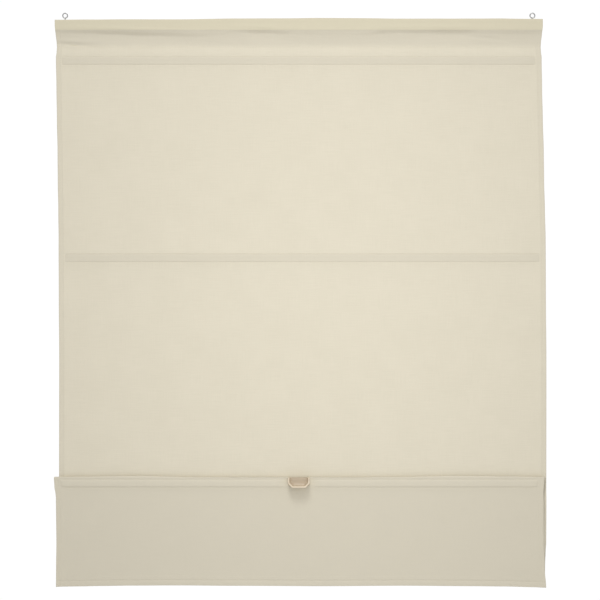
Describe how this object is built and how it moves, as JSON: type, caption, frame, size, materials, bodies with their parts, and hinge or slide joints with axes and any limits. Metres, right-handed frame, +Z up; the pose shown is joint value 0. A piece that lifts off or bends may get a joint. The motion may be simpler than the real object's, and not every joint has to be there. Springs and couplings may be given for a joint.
{
  "type": "roman blind",
  "caption": "Cordless cream roman blind on a wooden head batten with hanging eyes, magnet battens in sewn pockets, a folded-up lower pleat and a scooped wooden handle.",
  "frame": {"origin": "midway between the centres of the two hanging eyes' rings", "axes": "+X to the right and -Y towards the room, seen from the room, and +Z up"},
  "size_m": [1, 0.0408, 1.1789],
  "materials": {
    "cotton_cloth": "matte",
    "pocket_tape": "matte",
    "head_wood": "matte",
    "batten_wood": "matte",
    "handle_wood": "satin",
    "eye_steel": "satin",
    "screw_steel": "satin",
    "magnet_plating": "polished"
  },
  "bodies": {
    "head": {"cloth": "cotton_cloth", "head_batten": "head_wood", "screw_eye_left": "eye_steel", "screw_eye_right": "eye_steel", "batten_1": "batten_wood", "batten_pocket_1": "pocket_tape", "magnet_1_left": "magnet_plating", "magnet_1_right": "magnet_plating"},
    "second_batten": {"batten_2": "batten_wood", "batten_pocket_2": "pocket_tape", "magnet_2_left": "magnet_plating", "magnet_2_right": "magnet_plating"},
    "third_batten": {"batten_3": "batten_wood", "batten_pocket_3": "pocket_tape", "magnet_3_left": "magnet_plating", "magnet_3_right": "magnet_plating"},
    "fourth_batten": {"batten_4": "batten_wood", "batten_pocket_4": "pocket_tape", "magnet_4_left": "magnet_plating", "magnet_4_right": "magnet_plating", "handle": "handle_wood", "handle_screw_left": "screw_steel", "handle_screw_right": "screw_steel"}
  },
  "joints": [
    {"name": "second_batten_lift", "type": "slide", "parent": "head", "child": "second_batten", "axis": [0, -0.0217, 0.9998], "range_m": [0, 0.4055], "deforming": ["cloth"]},
    {"name": "third_batten_lift", "type": "slide", "parent": "second_batten", "child": "third_batten", "axis": [0, -0.019, 0.9998], "range_m": [0, 0.46248], "deforming": ["cloth"]},
    {"name": "fourth_batten_lift", "type": "slide", "parent": "third_batten", "child": "fourth_batten", "axis": [0, -0.0198, 0.9998], "range_m": [-0.44409, 0], "deforming": ["cloth"]}
  ]
}
